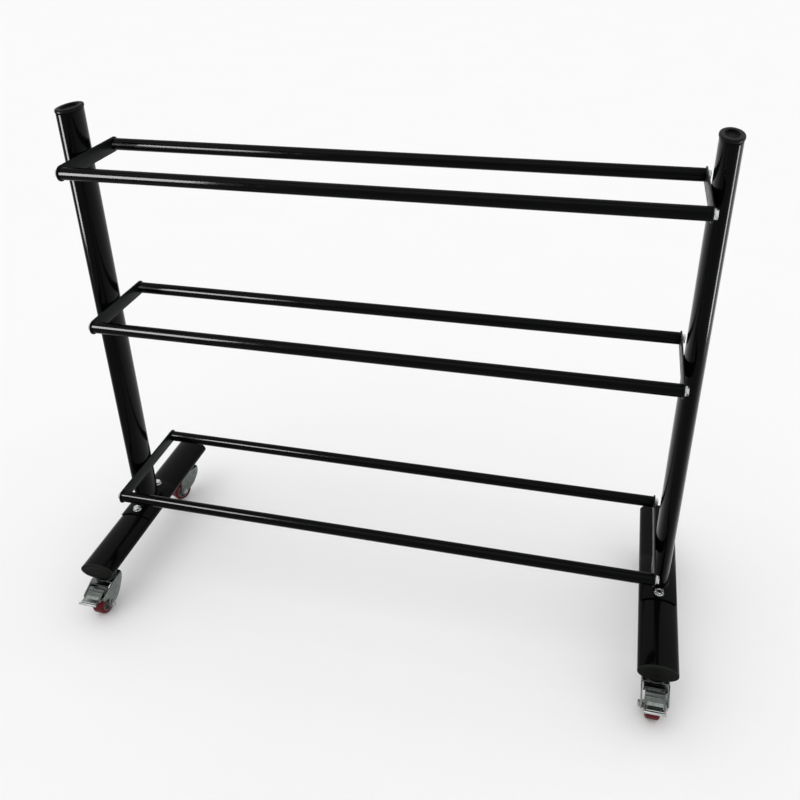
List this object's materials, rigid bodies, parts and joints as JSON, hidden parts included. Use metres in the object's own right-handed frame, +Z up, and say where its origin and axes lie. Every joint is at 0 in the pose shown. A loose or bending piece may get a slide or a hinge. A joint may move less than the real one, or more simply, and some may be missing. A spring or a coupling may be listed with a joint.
{
  "type": "dumbbell rack",
  "caption": "Open dumbbell rack: oval uprights on oval feet, pairs of round rails as shelves, and braked swivel casters under the feet.",
  "frame": {"origin": "on the floor, at the middle of the overall length and depth with the casters as they stand at rest", "axes": "+X along the rails towards the right-hand upright, -Y towards the front where the braked casters are, +Z up"},
  "size_m": [1.314, 0.5592, 1.1135],
  "materials": {
    "gloss_black": "gloss black powder coat",
    "plate_black": "satin black paint",
    "cap_plastic": "matt moulded plastic",
    "zinc": "bright zinc plate",
    "bright_steel": "bright plated",
    "tyre": "semi-gloss dark red polyurethane"
  },
  "bodies": {
    "frame": {"left_foot": "gloss_black", "left_saddle": "gloss_black", "left_upright": "gloss_black", "left_upright_cap": "cap_plastic", "left_foot_front_cap": "cap_plastic", "left_saddle_front_bolt": "bright_steel", "left_foot_rear_cap": "cap_plastic", "left_saddle_rear_bolt": "bright_steel", "right_foot": "gloss_black", "right_saddle": "gloss_black", "right_upright": "gloss_black", "right_upright_cap": "cap_plastic", "right_foot_front_cap": "cap_plastic", "right_saddle_front_bolt": "bright_steel", "right_foot_rear_cap": "cap_plastic", "right_saddle_rear_bolt": "bright_steel", "bottom_shelf_left_plate": "plate_black", "bottom_front_rail_left_bolt": "bright_steel", "bottom_rear_rail_left_bolt": "bright_steel", "bottom_shelf_right_plate": "plate_black", "bottom_front_rail_right_bolt": "bright_steel", "bottom_rear_rail_right_bolt": "bright_steel", "bottom_front_rail": "gloss_black", "bottom_rear_rail": "gloss_black", "middle_shelf_left_plate": "plate_black", "middle_front_rail_left_bolt": "bright_steel", "middle_rear_rail_left_bolt": "bright_steel", "middle_shelf_right_plate": "plate_black", "middle_front_rail_right_bolt": "bright_steel", "middle_rear_rail_right_bolt": "bright_steel", "middle_front_rail": "gloss_black", "middle_rear_rail": "gloss_black", "top_shelf_left_plate": "plate_black", "top_front_rail_left_bolt": "bright_steel", "top_rear_rail_left_bolt": "bright_steel", "top_shelf_right_plate": "plate_black", "top_front_rail_right_bolt": "bright_steel", "top_rear_rail_right_bolt": "bright_steel", "top_front_rail": "gloss_black", "top_rear_rail": "gloss_black", "front_left_caster_stem": "zinc", "front_right_caster_stem": "zinc", "rear_left_caster_stem": "zinc", "rear_right_caster_stem": "zinc"},
    "front_left_swivel": {"front_left_caster_fork": "zinc", "front_left_axle_bolt": "bright_steel"},
    "front_left_rolling": {"front_left_wheel": "tyre"},
    "front_left_brake": {"front_left_brake_pedal": "zinc"},
    "front_right_swivel": {"front_right_caster_fork": "zinc", "front_right_axle_bolt": "bright_steel"},
    "front_right_rolling": {"front_right_wheel": "tyre"},
    "front_right_brake": {"front_right_brake_pedal": "zinc"},
    "rear_left_swivel": {"rear_left_caster_fork": "zinc", "rear_left_axle_bolt": "bright_steel"},
    "rear_left_rolling": {"rear_left_wheel": "tyre"},
    "rear_right_swivel": {"rear_right_caster_fork": "zinc", "rear_right_axle_bolt": "bright_steel"},
    "rear_right_rolling": {"rear_right_wheel": "tyre"}
  },
  "joints": [
    {"name": "front_left_swivel_turn", "type": "hinge", "parent": "frame", "child": "front_left_swivel", "pos_m": [-0.617, -0.1914, 0.0785], "axis": [0, 0, 1], "continuous": true},
    {"name": "front_left_wheel_spin", "type": "hinge", "parent": "front_left_swivel", "child": "front_left_rolling", "pos_m": [-0.617, -0.2224, 0.0265], "axis": [1, 0, 0], "continuous": true},
    {"name": "front_left_brake_press", "type": "hinge", "parent": "front_left_swivel", "child": "front_left_brake", "pos_m": [-0.617, -0.2454, 0.061], "axis": [1, 0, 0], "range_deg": [-15, 0]},
    {"name": "front_right_swivel_turn", "type": "hinge", "parent": "frame", "child": "front_right_swivel", "pos_m": [0.617, -0.1914, 0.0785], "axis": [0, 0, 1], "continuous": true},
    {"name": "front_right_wheel_spin", "type": "hinge", "parent": "front_right_swivel", "child": "front_right_rolling", "pos_m": [0.617, -0.2224, 0.0265], "axis": [1, 0, 0], "continuous": true},
    {"name": "front_right_brake_press", "type": "hinge", "parent": "front_right_swivel", "child": "front_right_brake", "pos_m": [0.617, -0.2454, 0.061], "axis": [1, 0, 0], "range_deg": [-15, 0]},
    {"name": "rear_left_swivel_turn", "type": "hinge", "parent": "frame", "child": "rear_left_swivel", "pos_m": [-0.617, 0.2312, 0.0785], "axis": [0, 0, 1], "continuous": true},
    {"name": "rear_left_wheel_spin", "type": "hinge", "parent": "rear_left_swivel", "child": "rear_left_rolling", "pos_m": [-0.62901, 0.20262, 0.0265], "axis": [0.9219, -0.3875, 0], "continuous": true},
    {"name": "rear_right_swivel_turn", "type": "hinge", "parent": "frame", "child": "rear_right_swivel", "pos_m": [0.617, 0.2312, 0.0785], "axis": [0, 0, 1], "continuous": true},
    {"name": "rear_right_wheel_spin", "type": "hinge", "parent": "rear_right_swivel", "child": "rear_right_rolling", "pos_m": [0.617, 0.2002, 0.0265], "axis": [1, 0, 0], "continuous": true}
  ]
}
